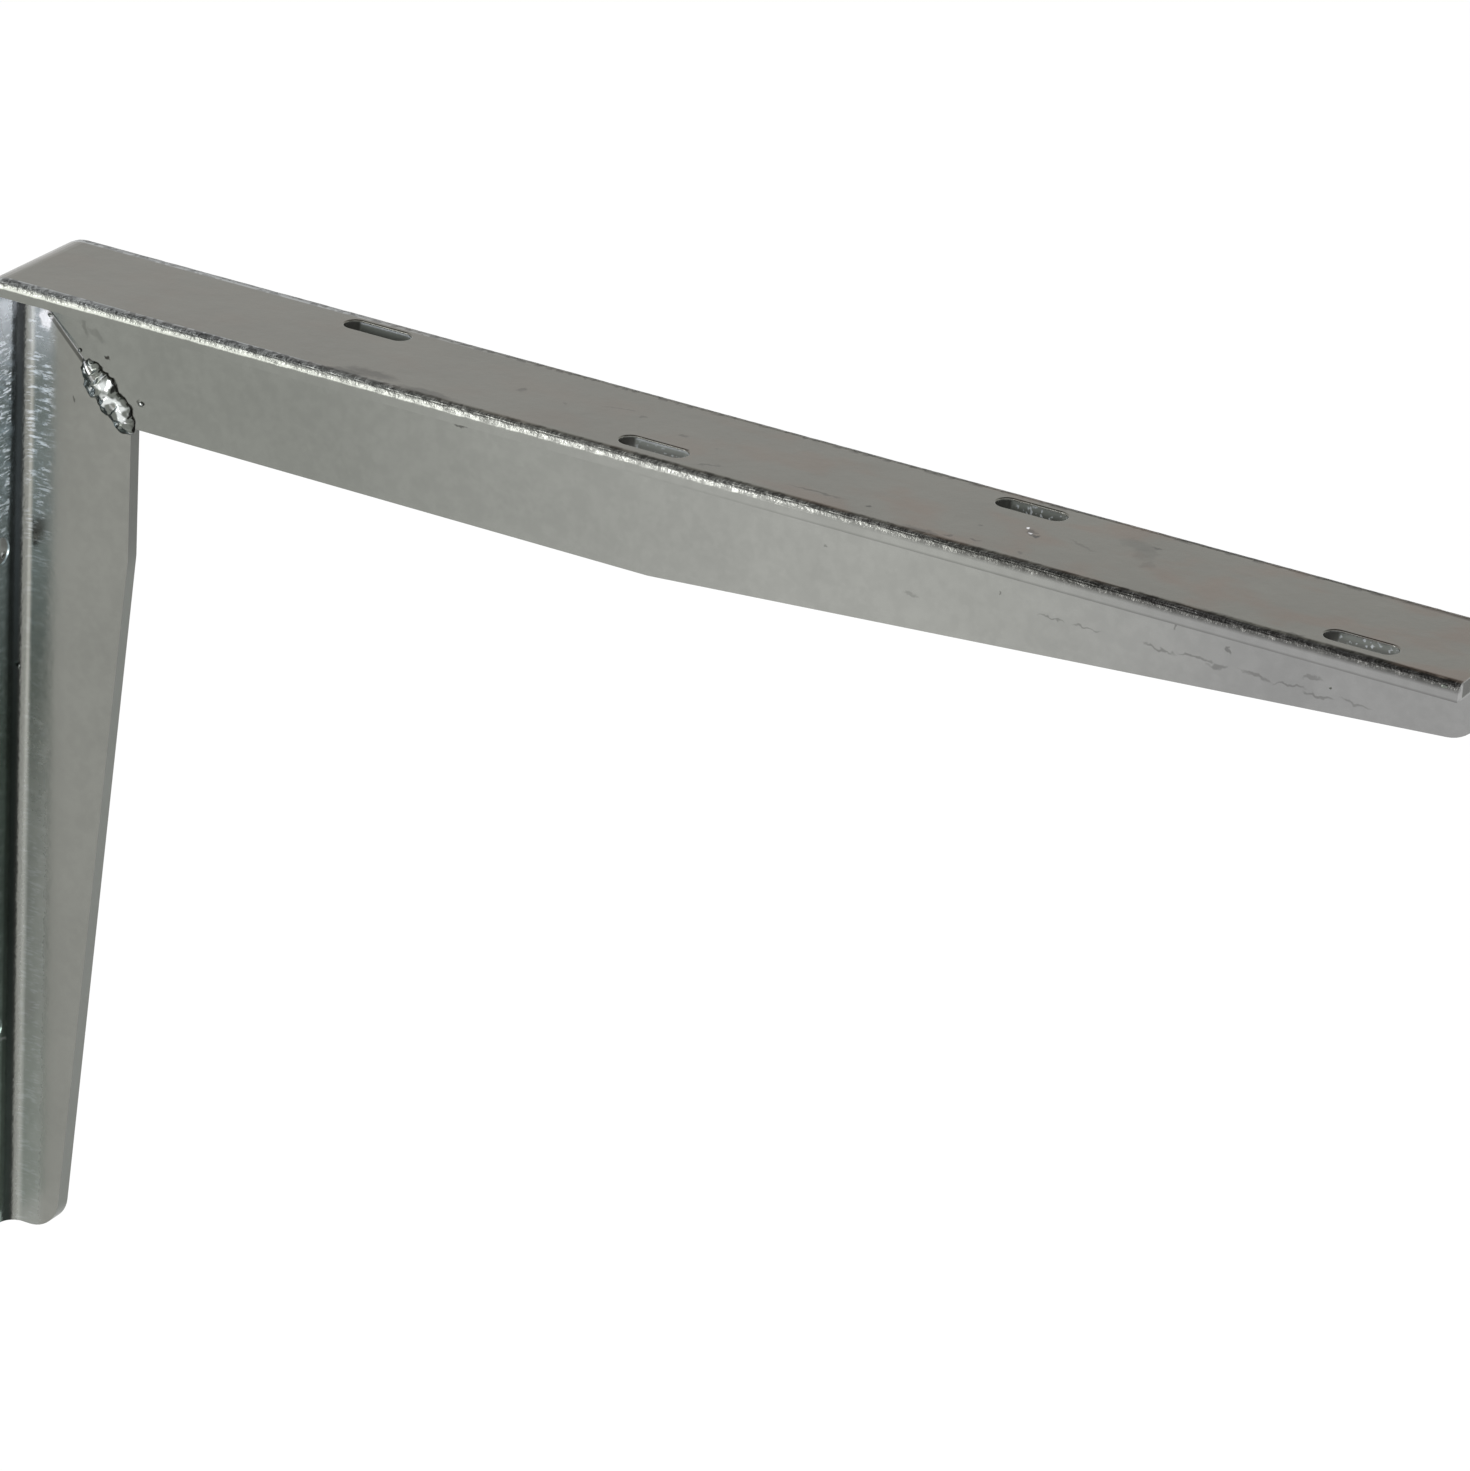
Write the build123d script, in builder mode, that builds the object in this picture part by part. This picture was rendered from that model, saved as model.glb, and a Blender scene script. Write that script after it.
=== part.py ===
from build123d import *
import math
import os

os.makedirs("parts", exist_ok=True)

# A shelf bracket folded from one hot-rolled T bar and dipped in zinc.
# X runs out from the wall along the shelf arm, Y across the bar and Z up.
# The origin lies on the wall face, on the bar's centre plane, level with the middle wall hole.

# Overall sizes in millimetres
arm_length = 450.0
leg_height = 300.0
top_height = 160.0

# Rolled T section, over its zinc coat
flange_width = 40.5
flange_thickness = 5.2
bar_depth = 41.5
web_thickness = 5.0
rolling_slope = 0.02
root_radius = 5.0
flange_toe_radius = 2.4
web_toe_radius = 1.0
coat_radius = 0.6

# Folded corner: outer radius of the flange, and the closed cut of the notched web
bend_radius = 11.0
seam_width = 1.1
seam_depth = 0.6

# Weld bead along the inner end of the cut, on both faces of the web
weld_length = 22.5
weld_radius = 2.5
weld_sink = 0.7
weld_ripples = 7
weld_taper = 0.86
ripple_height = 0.28

# Sloping lower edges of the web: start of each slope, depth of each tip and its round corner
arm_slope_start = 208.0
arm_tip_depth = 22.6
leg_slope_start = 81.0
leg_tip_depth = 21.5
tip_radius = 10.0
rim_radius = 0.5

# Shelf slots in the arm, one row on each side of the web
slot_length = 20.4
slot_width = 6.6
far_row_offset = 13.0
far_row_start = 111.0
far_row_pitch = 201.5
near_row_offset = 11.3
near_row_start = 213.0
near_row_pitch = 206.0

# Wall holes in the leg: an upper and a lower hole on the near side, one between them on the far side
wall_hole_diameter = 8.5
wall_row_offset = 12.0
wall_hole_spacing = 150.0

# Thickness of the flange at its toe and at the web, and half the web's thickness at a given depth
slope_rise = rolling_slope * flange_width / 4
toe_thickness = flange_thickness - slope_rise
inner_thickness = flange_thickness + slope_rise


def half_web(depth: float) -> float:
    """Half the thickness of the web at a depth below the flange's outer face."""
    return web_thickness / 2 + rolling_slope * (bar_depth / 2 - depth)


def on_diagonal(depth: float, side: int, sink: float = 0) -> tuple[float, float, float]:
    """Point on the corner's diagonal, at a depth from both outer faces, on or under one face of the web."""
    return (depth, side * (half_web(depth) - sink), top_height - depth)


def diagonal(side: int) -> Vector:
    """Direction of the corner's diagonal along one face of the web, towards the inner corner."""
    return Vector(1, -side * rolling_slope, -1)


# Where each straight run of the bar starts, with the section's outer face at local Y zero
arm_start = Plane(origin=(bend_radius, 0, top_height), x_dir=(0, 1, 0), z_dir=(1, 0, 0))
leg_start = Plane(origin=(0, 0, top_height - bend_radius), x_dir=(0, -1, 0), z_dir=(0, 0, -1))
bend_axis = Axis((bend_radius, 0, top_height - bend_radius), (0, -1, 0))
side_view = Plane(origin=(0, 0, top_height), x_dir=(1, 0, 0), z_dir=(0, -1, 0))
top_face = Plane(origin=(0, 0, top_height))
wall_face = Plane(origin=(0, 0, 0), x_dir=(0, 1, 0), z_dir=(1, 0, 0))

# Radius of the weld bead at each ripple's edge, smaller towards both ends
crests = []
for i in range(weld_ripples + 1):
    reach = 2 * i / weld_ripples - 1
    crests.append((i * weld_length / weld_ripples, weld_radius * math.sqrt(1 - weld_taper * reach**4)))

# T section: half of it, with its rolled radii, mirrored about the web
with BuildSketch() as bar_section:
    with BuildLine():
        Polyline(
            (0, 0),
            (flange_width / 2, 0),
            (flange_width / 2, -toe_thickness),
            (half_web(inner_thickness), -inner_thickness),
            (half_web(bar_depth), -bar_depth),
            (0, -bar_depth),
            close=True,
        )
    make_face()
    corners = bar_section.vertices()
    toe_edge = corners.group_by(Axis.X)[-1].sort_by(Axis.Y)
    fillet(toe_edge[-1], radius=coat_radius)
    fillet(toe_edge[0], radius=flange_toe_radius)
    web_side = bar_section.vertices().filter_by(lambda v: 0 < v.X < flange_width / 4)
    fillet(web_side.sort_by(Axis.Y)[-1], radius=root_radius)
    fillet(web_side.sort_by(Axis.Y)[0], radius=web_toe_radius)
    mirror(about=Plane.YZ)

with BuildPart() as bracket:
    # Straight runs of the bar, which meet on the corner's diagonal
    with BuildSketch(arm_start):
        add(bar_section.sketch)
    extrude(amount=arm_length - bend_radius)
    with BuildSketch(leg_start):
        add(bar_section.sketch)
    extrude(amount=leg_height - bend_radius)

    # Folded corner: the flange and the root of the web, turned about the fold
    with BuildSketch(arm_start):
        add(bar_section.sketch)
        Rectangle(flange_width, bend_radius, align=(Align.CENTER, Align.MAX), mode=Mode.INTERSECT)
    revolve(axis=bend_axis, revolution_arc=90)

    # Web cut to a slope towards the end of the arm and of the leg
    with BuildSketch(side_view):
        with BuildLine():
            Polyline(
                (arm_slope_start, -bar_depth),
                (arm_length, -arm_tip_depth),
                (arm_length, -bar_depth),
                close=True,
            )
        make_face()
        with BuildLine():
            Polyline(
                (bar_depth, -leg_slope_start),
                (leg_tip_depth, -leg_height),
                (bar_depth, -leg_height),
                close=True,
            )
        make_face()
    extrude(amount=flange_width / 2, both=True, mode=Mode.SUBTRACT)

    # Round lower corners of the web's two tips
    across = bracket.edges().filter_by(Axis.Y)
    arm_tip = across.sort_by_distance((arm_length, 0, top_height - arm_tip_depth))[0]
    leg_tip = across.sort_by_distance((leg_tip_depth, 0, top_height - leg_height))[0]
    fillet([arm_tip, leg_tip], radius=tip_radius)

    # Slots for the shelf's screws, staggered about the web
    far_row = (far_row_start, far_row_pitch, far_row_offset)
    near_row = (near_row_start, near_row_pitch, -near_row_offset)
    with BuildSketch(top_face):
        for start, pitch, offset in (far_row, near_row):
            with Locations((start, offset), (start + pitch, offset)):
                SlotOverall(slot_length, slot_width)
    extrude(amount=-2 * flange_thickness, mode=Mode.SUBTRACT)

    # Holes for the wall's screws
    with BuildSketch(wall_face):
        with Locations((-wall_row_offset, wall_hole_spacing / 2), (-wall_row_offset, -wall_hole_spacing / 2)):
            Circle(wall_hole_diameter / 2)
        with Locations((wall_row_offset, 0)):
            Circle(wall_hole_diameter / 2)
    extrude(amount=2 * flange_thickness, mode=Mode.SUBTRACT)

    # Closed cut of the notched web, a fine groove along the diagonal of both faces
    for side in (-1, 1):
        seam_plane = Plane(origin=on_diagonal(bend_radius, side), x_dir=(1, 0, 1), z_dir=diagonal(side))
        with BuildSketch(seam_plane):
            with BuildLine():
                Polyline(
                    (-seam_width, -side * seam_depth),
                    (seam_width, -side * seam_depth),
                    (0, side * seam_depth),
                    close=True,
                )
            make_face()
        extrude(amount=math.sqrt(2) * (bar_depth - bend_radius) + seam_width, mode=Mode.SUBTRACT)

    # Weld bead in overlapping ripples, turned about a line just under the web's face
    for side in (-1, 1):
        bead_start = on_diagonal(bar_depth - weld_length / math.sqrt(2), side, weld_sink)
        with BuildSketch(Plane(origin=bead_start, x_dir=diagonal(side), z_dir=(1, 0, 1))):
            with BuildLine():
                Line((0, 0), crests[0])
                for low, high in zip(crests, crests[1:]):
                    middle = ((low[0] + high[0]) / 2, (low[1] + high[1]) / 2 + ripple_height)
                    ThreePointArc(low, middle, high)
                Line(crests[-1], (weld_length, 0))
                Line((weld_length, 0), (0, 0))
            make_face()
        revolve(axis=Axis(bead_start, diagonal(side)))

    # Zinc rounds the rims of the slots and holes
    top = bracket.faces().filter_by(Plane.XY).sort_by(Axis.Z)[-1]
    back = bracket.faces().filter_by(Plane.YZ).sort_by(Axis.X)[0]
    rims = [edge for wire in top.inner_wires() + back.inner_wires() for edge in wire.edges()]
    fillet(rims, radius=rim_radius)

bracket.part.label = "bracket"
export_step(bracket.part, "parts/bracket.step")
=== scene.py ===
"""Looks of a hot-dip galvanised shelf bracket: its coat, edges, weld beads and drips, and its studio."""

import logging
import math
import random
from collections.abc import Iterable
from dataclasses import dataclass
from enum import Enum

import bmesh
import bpy
from mathutils import Matrix, Vector, noise


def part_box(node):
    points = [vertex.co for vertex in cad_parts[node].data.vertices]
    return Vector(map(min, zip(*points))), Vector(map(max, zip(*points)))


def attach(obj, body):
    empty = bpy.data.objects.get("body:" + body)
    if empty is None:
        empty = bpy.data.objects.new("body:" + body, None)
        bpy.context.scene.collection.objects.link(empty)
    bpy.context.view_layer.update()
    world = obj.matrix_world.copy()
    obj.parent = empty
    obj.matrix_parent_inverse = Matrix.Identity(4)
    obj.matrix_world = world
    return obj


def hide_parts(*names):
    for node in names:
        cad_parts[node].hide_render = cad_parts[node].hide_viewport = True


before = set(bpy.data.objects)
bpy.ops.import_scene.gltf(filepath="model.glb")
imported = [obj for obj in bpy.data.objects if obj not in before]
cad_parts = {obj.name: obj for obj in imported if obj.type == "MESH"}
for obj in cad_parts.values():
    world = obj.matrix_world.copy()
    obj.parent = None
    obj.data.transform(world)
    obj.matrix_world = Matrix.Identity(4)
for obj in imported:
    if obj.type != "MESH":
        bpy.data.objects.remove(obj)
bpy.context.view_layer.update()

log = logging.getLogger("shelf_bracket")

MM = 0.001
MERGE = 0.001 * MM
NODE = "bracket"
BODY = "root"

Socket = bpy.types.NodeSocket
Tree = bpy.types.NodeTree
Faces = list[bmesh.types.BMFace]
Value = float | Socket
Colour = tuple[float, float, float, float]


def srgb(red: float, green: float, blue: float) -> Colour:
    """Give a linear colour for a screen colour.

    Args:
        red: Red from 0 to 255.
        green: Green from 0 to 255.
        blue: Blue from 0 to 255.

    Returns:
        The linear red, green, blue and an alpha of 1.
    """
    linear = []
    for part in (red, green, blue):
        share = part / 255
        linear.append(share / 12.92 if share <= 0.04045 else ((share + 0.055) / 1.055) ** 2.4)
    return (*linear, 1.0)


def smooth_step(value: float, low: float, high: float) -> float:
    """Give 0 below low, 1 above high and a smooth rise between them.

    Args:
        value: The value to place between the two ends.
        low: The end that gives 0.
        high: The end that gives 1.

    Returns:
        The smooth share from 0 to 1.
    """
    share = min(max((value - low) / (high - low), 0.0), 1.0)
    return share * share * (3 - 2 * share)


@dataclass(frozen=True)
class BarSizes:
    """Sizes of the folded T bar in metres, in the frame's own axes."""

    reach: float
    top: float
    foot: float
    half_width: float
    bend_radius: float = 11 * MM
    flange: float = 5.2 * MM
    web_depth: float = 41.5 * MM
    half_web: float = 2.5 * MM
    rolling_slope: float = 0.02

    @classmethod
    def from_frame(cls) -> "BarSizes":
        """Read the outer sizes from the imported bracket."""
        low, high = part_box(NODE)
        return cls(reach=high.x, top=high.z, foot=low.z, half_width=high.y)

    def web_face(self, depth: float) -> float:
        """Give the distance of the web's face from the centre plane at a depth below the outer face."""
        return self.half_web + self.rolling_slope * (self.web_depth / 2 - depth)

    def depth(self, point: Vector) -> float:
        """Give how far a point lies under the flange's outer face, round the bend too.

        Args:
            point: A point in the frame.

        Returns:
            The depth in metres.
        """
        from_wall, from_top = point.x, self.top - point.z
        if from_wall < self.bend_radius and from_top < self.bend_radius:
            return self.bend_radius - math.hypot(self.bend_radius - from_wall, self.bend_radius - from_top)
        return min(from_wall, from_top)

    def outward(self, point: Vector) -> Vector:
        """Give the direction out of the flange's outer face nearest to a point."""
        from_wall, from_top = point.x, self.top - point.z
        if from_wall < self.bend_radius and from_top < self.bend_radius:
            return Vector((from_wall - self.bend_radius, 0, self.bend_radius - from_top)).normalized()
        return Vector((-1, 0, 0)) if from_wall < from_top else Vector((0, 0, 1))


class Graph:
    """Short calls that add shader nodes to one node tree."""

    def __init__(self, tree: Tree) -> None:
        """Keep the tree that the nodes go into."""
        self.tree = tree

    def add(self, kind: str, **settings: object) -> bpy.types.Node:
        """Add a node of a kind, with its settings."""
        node = self.tree.nodes.new(kind)
        for name, value in settings.items():
            setattr(node, name, value)
        return node

    def feed(self, socket: Socket, value: object) -> None:
        """Link a socket's value, or set it where it is a plain one."""
        if isinstance(value, Socket):
            self.tree.links.new(value, socket)
        else:
            socket.default_value = value

    def math(self, operation: str, first: Value, second: Value = 0.0) -> Socket:
        """Add a Math node.

        Args:
            operation: The Math node's operation.
            first: First value.
            second: Second value, where the operation has one.

        Returns:
            The result's socket.
        """
        node = self.add("ShaderNodeMath", operation=operation)
        self.feed(node.inputs[0], first)
        self.feed(node.inputs[1], second)
        return node.outputs[0]

    def total(self, values: Iterable[Value]) -> Value:
        """Add up several values."""
        result: Value = 0.0
        for value in values:
            result = self.math("ADD", result, value)
        return result

    def product(self, *values: Value) -> Value:
        """Multiply several values."""
        result = values[0]
        for value in values[1:]:
            result = self.math("MULTIPLY", result, value)
        return result

    def most(self, *values: Value) -> Value:
        """Give the largest of several values."""
        result = values[0]
        for value in values[1:]:
            result = self.math("MAXIMUM", result, value)
        return result

    def rest(self, share: Value) -> Socket:
        """Give what a share leaves of 1."""
        return self.math("SUBTRACT", 1.0, share)

    def span(self, first: Value, second: Value) -> Socket:
        """Give the length of a flat arrow from its two parts."""
        return self.math("SQRT", self.total((self.product(first, first), self.product(second, second))))

    def parts(self, vector: Value) -> tuple[Socket, ...]:
        """Split a vector into its three parts."""
        node = self.add("ShaderNodeSeparateXYZ")
        self.feed(node.inputs[0], vector)
        return tuple(node.outputs)

    def bump(self, height: Value) -> Socket:
        """Add a Bump node for a height in millimetres and give its normal."""
        node = self.add("ShaderNodeBump")
        node.inputs["Strength"].default_value = 1.0
        node.inputs["Distance"].default_value = MM
        self.feed(node.inputs["Height"], height)
        return node.outputs[0]

    def show(self, shader: Socket, kind: str = "Material") -> None:
        """Give a shader to the surface of a material or a world."""
        output = self.add("ShaderNodeOutput" + kind)
        self.feed(output.inputs["Surface"], shader)

    def step(self, value: Value, low: float, high: float, start: Value = 0.0, end: Value = 1.0) -> Socket:
        """Add a smooth Map Range node.

        Args:
            value: The value to map.
            low: Value that gives start.
            high: Value that gives end.
            start: Result at low.
            end: Result at high.

        Returns:
            The result's socket.
        """
        node = self.add("ShaderNodeMapRange", interpolation_type="SMOOTHSTEP")
        ends = {"Value": value, "From Min": low, "From Max": high, "To Min": start, "To Max": end}
        for name, given in ends.items():
            self.feed(node.inputs[name], given)
        return node.outputs["Result"]

    def mix(self, factor: Value, first: object, second: object, blend: str = "MIX") -> Socket:
        """Mix two colours.

        Args:
            factor: Share of the second colour.
            first: First colour.
            second: Second colour.
            blend: The Mix node's blend type.

        Returns:
            The mixed colour's socket.
        """
        node = self.add("ShaderNodeMix", data_type="RGBA", blend_type=blend)
        sockets = {socket.identifier: socket for socket in node.inputs}
        self.feed(sockets["Factor_Float"], factor)
        self.feed(sockets["A_Color"], first)
        self.feed(sockets["B_Color"], second)
        return next(socket for socket in node.outputs if socket.identifier == "Result_Color")

    def noise(self, point: Value, scale: float, detail: float = 2.0, roughness: float = 0.5) -> Socket:
        """Add a noise texture and give its value."""
        node = self.add("ShaderNodeTexNoise")
        self.feed(node.inputs["Vector"], point)
        node.inputs["Scale"].default_value = scale
        node.inputs["Detail"].default_value = detail
        node.inputs["Roughness"].default_value = roughness
        return node.outputs[0]

    def stretch(self, point: Value, scale: Vector, turn: Vector = Vector((0, 0, 0))) -> Socket:
        """Turn and scale a point with a Mapping node."""
        node = self.add("ShaderNodeMapping", vector_type="POINT")
        self.feed(node.inputs["Vector"], point)
        node.inputs["Rotation"].default_value = turn
        node.inputs["Scale"].default_value = scale
        return node.outputs[0]

    def group(self, tree: Tree, **values: object) -> dict[str, Socket]:
        """Place a node group.

        Args:
            tree: The group's tree.
            values: Its inputs by name, with _ for a space.

        Returns:
            The group's outputs by name.
        """
        node = self.add("ShaderNodeGroup", node_tree=tree)
        for name, value in values.items():
            self.feed(node.inputs[name.replace("_", " ")], value)
        return {socket.name: socket for socket in node.outputs}


def clear_graph(owner: bpy.types.ID) -> Graph:
    """Switch on the nodes of a material or a world and empty them."""
    owner.use_nodes = True
    owner.node_tree.nodes.clear()
    return Graph(owner.node_tree)


def new_group(name: str, inputs: dict[str, str]) -> tuple[Graph, dict[str, Socket]]:
    """Start a shader node group.

    Args:
        name: The group's name.
        inputs: Socket kinds by input name.

    Returns:
        The group's graph and its input sockets by name.
    """
    tree = bpy.data.node_groups.new(name, "ShaderNodeTree")
    for label, kind in inputs.items():
        tree.interface.new_socket(name=label, in_out="INPUT", socket_type="NodeSocket" + kind)
    graph = Graph(tree)
    entry = graph.add("NodeGroupInput")
    return graph, {socket.name: socket for socket in entry.outputs}


def close_group(graph: Graph, **outputs: Value) -> Tree:
    """Give a node group its outputs, each a single number.

    Args:
        graph: The group's graph.
        outputs: The values by output name.

    Returns:
        The finished group.
    """
    for label in outputs:
        graph.tree.interface.new_socket(name=label, in_out="OUTPUT", socket_type="NodeSocketFloat")
    leave = graph.add("NodeGroupOutput")
    for label, value in outputs.items():
        graph.feed(leave.inputs[label], value)
    return graph.tree


def new_object(name: str, data: bpy.types.ID) -> bpy.types.Object:
    """Make an object from its data and link it to the scene."""
    item = bpy.data.objects.new(name, data)
    bpy.context.scene.collection.objects.link(item)
    return item


def new_mesh(mesh: bmesh.types.BMesh, name: str) -> bpy.types.Mesh:
    """Turn a bmesh into mesh data, and free it."""
    data = bpy.data.meshes.new(name)
    mesh.to_mesh(data)
    mesh.free()
    return data


class Face(Enum):
    """Faces of the bar that carry marks, with the two axes that place a mark on each."""

    TOP = "along and across the shelf face"
    WEB = "along the arm and down its near face"
    WALL = "across and down the front of the wall flange"


@dataclass(frozen=True)
class Mark:
    """One mark on the zinc: a soft ellipse, in millimetres along two axes of its face."""

    face: Face
    first: float
    second: float
    half_length: float
    half_width: float
    turn: float = 0.0
    strength: float = 0.5


MARKS = (
    Mark(Face.TOP, 127, -14.5, 9, 2.6, 0, 0.5),
    Mark(Face.TOP, 121, -17.2, 7, 1.4, 0, 0.5),
    Mark(Face.TOP, 146, -17.0, 10, 2.0, 0, 0.5),
    Mark(Face.TOP, 164.9, 0.6, 2.0, 1.5, 20, 0.42),
    Mark(Face.TOP, 178.8, -0.4, 1.2, 0.8, 0, 0.3),
    Mark(Face.TOP, 192, 5.4, 6, 0.5, 16, 0.3),
    Mark(Face.TOP, 200.4, 4.3, 0.9, 0.7, 0, 0.35),
    Mark(Face.TOP, 215.6, -0.5, 1.4, 1.2, 0, 0.4),
    Mark(Face.TOP, 220.6, -8.2, 1.2, 1.2, 0, 0.5),
    Mark(Face.TOP, 231, -13.6, 4.5, 0.6, 30, 0.34),
    Mark(Face.TOP, 227.6, -2.7, 0.8, 0.8, 0, 0.3),
    Mark(Face.TOP, 262, -11.8, 9, 0.6, 3, 0.45),
    Mark(Face.TOP, 277.3, -11.7, 1.1, 0.8, 0, 0.75),
    Mark(Face.TOP, 296.9, -17.0, 6, 1.4, 0, 0.45),
    Mark(Face.TOP, 303.9, -15.8, 1.2, 1.0, 0, 0.5),
    Mark(Face.TOP, 307.2, -4.9, 0.9, 0.7, 0, 0.5),
    Mark(Face.TOP, 310.6, -14.3, 1.3, 0.7, 0, 0.5),
    Mark(Face.TOP, 319.5, -0.5, 2.6, 1.7, -40, 0.6),
    Mark(Face.TOP, 322.0, -2.6, 1.4, 1.0, 0, 0.9),
    Mark(Face.TOP, 317.4, 1.2, 1.0, 0.8, 0, -0.9),
    Mark(Face.TOP, 320.6, -1.6, 0.9, 0.6, 0, -0.7),
    Mark(Face.TOP, 323.9, -14.5, 1.1, 0.8, 0, 0.35),
    Mark(Face.TOP, 334.5, -0.6, 5.5, 0.7, -20, 0.28),
    Mark(Face.TOP, 350.7, 9.9, 1.8, 0.9, 15, 0.6),
    Mark(Face.TOP, 345.5, 8.8, 5.6, 3.6, -15, 0.2),
    Mark(Face.TOP, 350.0, 4.8, 3.8, 4.6, 20, 0.2),
    Mark(Face.TOP, 353.4, -1.0, 1.8, 3.4, 0, 0.2),
    Mark(Face.TOP, 383.5, -17.8, 8, 1.0, 0, 0.3),
    Mark(Face.TOP, 404.3, -17.2, 3.0, 0.7, 0, 0.5),
    Mark(Face.WEB, 25.6, 15.4, 3.4, 1.1, 62, 0.26),
    Mark(Face.WEB, 30.2, 17.0, 4.0, 1.4, 25, 0.2),
    Mark(Face.WEB, 33.6, 22.5, 0.8, 0.7, 0, 0.95),
    Mark(Face.WEB, 22.4, 37.4, 0.8, 0.4, 50, 0.6),
    Mark(Face.WEB, 44.2, 33.4, 1.0, 0.6, 45, 0.6),
    Mark(Face.WEB, 148.2, 13.6, 2.8, 0.45, -6, 0.6),
    Mark(Face.WEB, 261.2, 18.4, 0.6, 0.5, 0, 0.35),
    Mark(Face.WEB, 287.2, 25.6, 2.4, 0.7, 10, 0.22),
    Mark(Face.WEB, 312.6, 18.4, 0.5, 0.5, 0, 0.45),
    Mark(Face.WEB, 328.5, 21.2, 4.0, 0.35, 0, 0.34),
    Mark(Face.WEB, 338.5, 21.2, 4.2, 0.35, 0, 0.34),
    Mark(Face.WEB, 359.5, 21.3, 5.2, 0.45, 5, 0.36),
    Mark(Face.WEB, 370, 20.7, 6.2, 0.45, 0, 0.36),
    Mark(Face.WEB, 363.7, 14.0, 0.6, 1.2, 0, 0.4),
    Mark(Face.WEB, 376.5, 21.4, 3.6, 0.6, -12, 0.34),
    Mark(Face.WEB, 387, 21.1, 5.2, 0.7, 3, 0.34),
    Mark(Face.WEB, 396.5, 21.2, 5.2, 0.5, -8, 0.34),
    Mark(Face.WEB, 404.8, 21.9, 4.6, 0.45, 5, 0.34),
    Mark(Face.WEB, 402.4, 17.6, 3.4, 0.6, -6, 0.3),
    Mark(Face.WEB, 379.1, 16.5, 0.4, 1.3, 0, 0.4),
    Mark(Face.WEB, 415.3, 21.3, 5.0, 0.4, 4, 0.28),
    Mark(Face.WEB, 12.5, 15.8, 2.7, 3.8, 0, -0.95),
    Mark(Face.WALL, -8.2, 239.2, 2.6, 0.6, 20, -0.4),
)


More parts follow.
